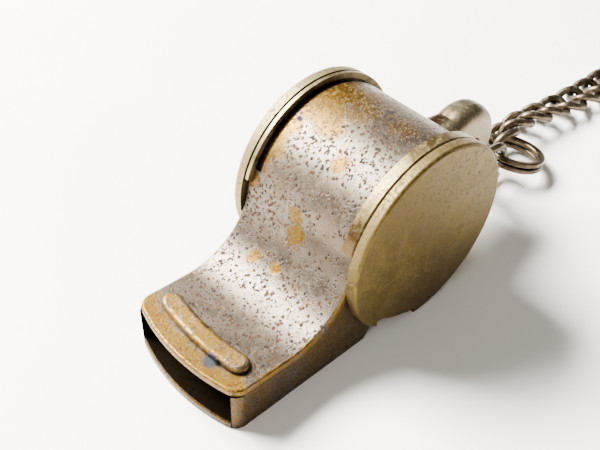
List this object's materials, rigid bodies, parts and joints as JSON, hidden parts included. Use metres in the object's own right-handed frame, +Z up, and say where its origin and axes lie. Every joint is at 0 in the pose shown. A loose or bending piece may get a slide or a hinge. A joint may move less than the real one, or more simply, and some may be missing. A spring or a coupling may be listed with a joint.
{
  "type": "pea whistle",
  "caption": "Pea whistle of sheet metal with a bite bead, a round barrel, an eye lug, a split ring and a curb chain ending in a hook.",
  "frame": {"origin": "on the table under the middle of the whistle itself (without its rings and chain), which lies upside down", "axes": "+X from the mouthpiece to the lug and chain, +Y along the barrel's axis, +Z up, away from the air window"},
  "size_m": [0.1402, 0.0213, 0.0253],
  "materials": {
    "plate": "worn nickel plate over brass, pitted",
    "inner": "dull worn nickel plate",
    "cap": "satin, nickel worn to olive brass",
    "band": "bright worn nickel over brass",
    "lug": "smooth grey nickel",
    "chain": "warm grey nickel, dark in the recesses",
    "cork": "matt cork"
  },
  "bodies": {
    "whistle": {"barrel_strip": "plate", "right_side_plate": "inner", "left_side_plate": "inner", "mouth_floor": "inner", "throat_plate": "inner", "right_cap": "cap", "left_cap": "cap", "right_rim_band": "band", "left_rim_band": "band", "tail_lug": "lug"},
    "pea": {"cork_pea": "cork"},
    "eye_ring": {"eye_ring": "chain"},
    "coupling_link": {"coupling_link": "chain"},
    "split_ring": {"split_ring": "chain"},
    "chain_link_01": {"chain_link_01": "chain"},
    "chain_link_02": {"chain_link_02": "chain"},
    "chain_link_03": {"chain_link_03": "chain"},
    "chain_link_04": {"chain_link_04": "chain"},
    "chain_link_05": {"chain_link_05": "chain"},
    "chain_link_06": {"chain_link_06": "chain"},
    "chain_link_07": {"chain_link_07": "chain"},
    "chain_link_08": {"chain_link_08": "chain"},
    "chain_link_09": {"chain_link_09": "chain"},
    "chain_link_10": {"chain_link_10": "chain"},
    "chain_link_11": {"chain_link_11": "chain"},
    "chain_link_12": {"chain_link_12": "chain"},
    "chain_link_13": {"chain_link_13": "chain"},
    "chain_link_14": {"chain_link_14": "chain"},
    "chain_hook": {"chain_hook": "chain"}
  },
  "joints": [
    {"name": "pea_orbit", "type": "hinge", "parent": "whistle", "child": "pea", "pos_m": [0.00355, 0, 0.0125], "axis": [0, 1, 0], "continuous": true},
    {"name": "eye_ring_swing", "type": "hinge", "parent": "whistle", "child": "eye_ring", "pos_m": [0.02095, 0, 0.0118], "axis": [0, 1, 0], "range_deg": [-40, 25]},
    {"name": "coupling_swing", "type": "hinge", "parent": "eye_ring", "child": "coupling_link", "pos_m": [0.02728, 0, 0.00425], "axis": [0, 1, 0], "range_deg": [-20, 15]},
    {"name": "split_ring_swing", "type": "hinge", "parent": "coupling_link", "child": "split_ring", "pos_m": [0.03145, -0.00043, 0.00372], "axis": [0, 1, 0], "range_deg": [-12, 12]},
    {"name": "chain_link_01_swing", "type": "hinge", "parent": "split_ring", "child": "chain_link_01", "pos_m": [0.03742, 0.00327, 0.0024], "axis": [0, 0, 1], "range_deg": [-3, 8]},
    {"name": "chain_link_02_swing", "type": "hinge", "parent": "chain_link_01", "child": "chain_link_02", "pos_m": [0.0397, 0.00409, 0.00249], "axis": [0, 0, -1], "range_deg": [-12, 12]},
    {"name": "chain_link_03_swing", "type": "hinge", "parent": "chain_link_02", "child": "chain_link_03", "pos_m": [0.04399, 0.00397, 0.00245], "axis": [0, 1, 0], "range_deg": [-12, 12]},
    {"name": "chain_link_04_swing", "type": "hinge", "parent": "chain_link_03", "child": "chain_link_04", "pos_m": [0.04823, 0.0033, 0.00217], "axis": [0, 0, 1], "range_deg": [-12, 12]},
    {"name": "chain_link_05_swing", "type": "hinge", "parent": "chain_link_04", "child": "chain_link_05", "pos_m": [0.05246, 0.00259, 0.00184], "axis": [0, -1, 0], "range_deg": [-12, 12]},
    {"name": "chain_link_06_swing", "type": "hinge", "parent": "chain_link_05", "child": "chain_link_06", "pos_m": [0.05674, 0.00215, 0.00174], "axis": [0, 0, -1], "range_deg": [-12, 12]},
    {"name": "chain_link_07_swing", "type": "hinge", "parent": "chain_link_06", "child": "chain_link_07", "pos_m": [0.06103, 0.00205, 0.00156], "axis": [0, 1, 0], "range_deg": [-12, 12]},
    {"name": "chain_link_08_swing", "type": "hinge", "parent": "chain_link_07", "child": "chain_link_08", "pos_m": [0.06533, 0.00209, 0.00144], "axis": [0, 0, 1], "range_deg": [-12, 12]},
    {"name": "chain_link_09_swing", "type": "hinge", "parent": "chain_link_08", "child": "chain_link_09", "pos_m": [0.06963, 0.00224, 0.00144], "axis": [0, -1, 0], "range_deg": [-12, 12]},
    {"name": "chain_link_10_swing", "type": "hinge", "parent": "chain_link_09", "child": "chain_link_10", "pos_m": [0.07393, 0.00239, 0.00144], "axis": [0, 0, -1], "range_deg": [-12, 12]},
    {"name": "chain_link_11_swing", "type": "hinge", "parent": "chain_link_10", "child": "chain_link_11", "pos_m": [0.07822, 0.00241, 0.00154], "axis": [0, 1, 0], "range_deg": [-12, 12]},
    {"name": "chain_link_12_swing", "type": "hinge", "parent": "chain_link_11", "child": "chain_link_12", "pos_m": [0.0825, 0.00214, 0.00187], "axis": [0, 0, 1], "range_deg": [-12, 12]},
    {"name": "chain_link_13_swing", "type": "hinge", "parent": "chain_link_12", "child": "chain_link_13", "pos_m": [0.08679, 0.00191, 0.00215], "axis": [0, -1, 0], "range_deg": [-12, 12]},
    {"name": "chain_link_14_swing", "type": "hinge", "parent": "chain_link_13", "child": "chain_link_14", "pos_m": [0.09108, 0.00224, 0.00219], "axis": [0, 0, -1], "range_deg": [-12, 12]},
    {"name": "chain_hook_swing", "type": "hinge", "parent": "chain_link_14", "child": "chain_hook", "pos_m": [0.09494, 0.00413, 0.00202], "axis": [0, 0, 1], "range_deg": [-25, 25]}
  ]
}
